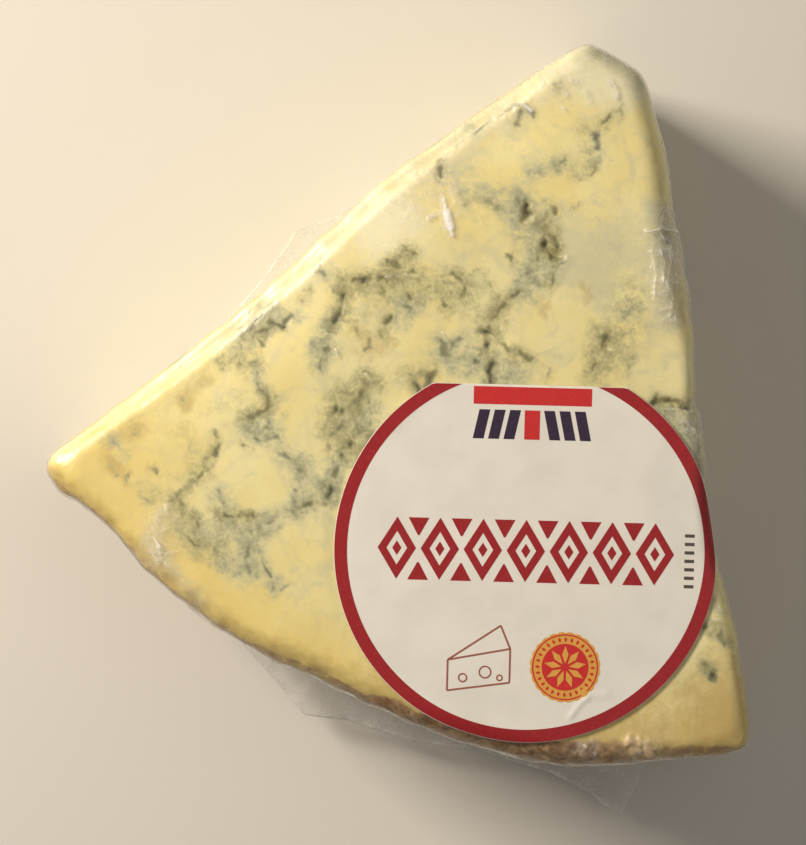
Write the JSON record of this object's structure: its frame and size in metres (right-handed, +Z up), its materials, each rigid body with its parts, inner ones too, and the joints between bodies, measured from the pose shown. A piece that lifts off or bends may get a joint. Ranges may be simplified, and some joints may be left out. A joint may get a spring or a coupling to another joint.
{
  "type": "stilton wedge",
  "caption": "Wedge of blue-veined cheese in tight clear film, lying on its flat cut, with a round paper label on top.",
  "frame": {"origin": "centre of the flat underside's rest point, on the bisector of the wedge, 54 mm from the axis of the wheel it was cut from", "axes": "+Z up through the wedge's thickness, +Y along the bisector towards the tip, -Y towards the rind, +X towards the cut wall that the label reaches"},
  "size_m": [0.0993, 0.0983, 0.0366],
  "materials": {
    "cheese_paste": "moist, fatty blue-veined paste with a brown crust on the rind side",
    "clear_film": "thin clear stretch film, glossy, with fine creases",
    "label_paper": "matte coated paper with a crimson ring"
  },
  "bodies": {
    "root": {"wrapped_wedge": "cheese_paste", "label": "label_paper"}
  },
  "joints": []
}
